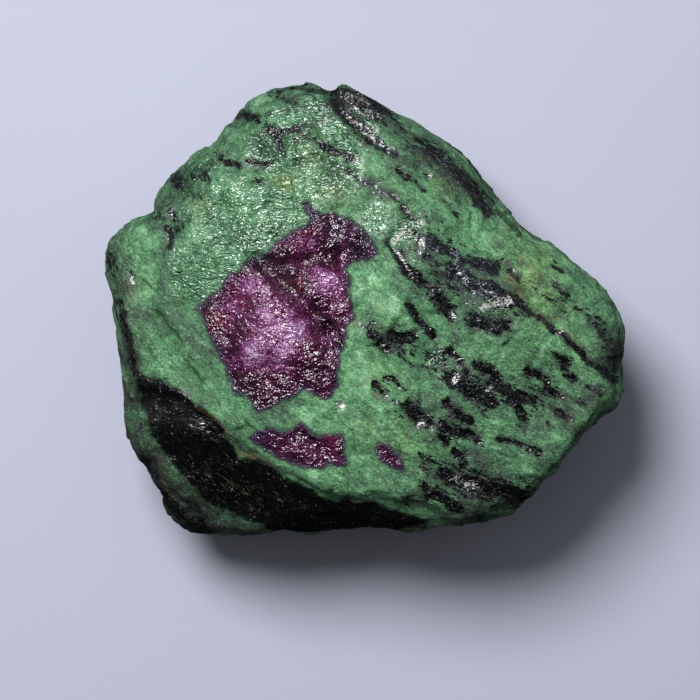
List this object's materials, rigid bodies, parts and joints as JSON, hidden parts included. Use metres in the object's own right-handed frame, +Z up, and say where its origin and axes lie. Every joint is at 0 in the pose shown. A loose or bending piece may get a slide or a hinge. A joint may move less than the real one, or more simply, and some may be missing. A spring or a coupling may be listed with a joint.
{
  "type": "rough ruby in zoisite",
  "caption": "Hand-sized lump of rough green zoisite with a purple ruby patch and black hornblende streaks, lying on its flat broken back.",
  "frame": {"origin": "centre of the lump's footprint, on the surface that it rests on", "axes": "+X along the lump's length, towards its blunt right-hand end; +Y across it, towards its rounded top; +Z up, out of the face with the ruby"},
  "size_m": [0.091, 0.0795, 0.046],
  "materials": {
    "rock": "rough broken green stone with a waxy sheen, marked with purple ruby and black hornblende"
  },
  "bodies": {
    "root": {"ruby_in_zoisite": "rock"}
  },
  "joints": []
}
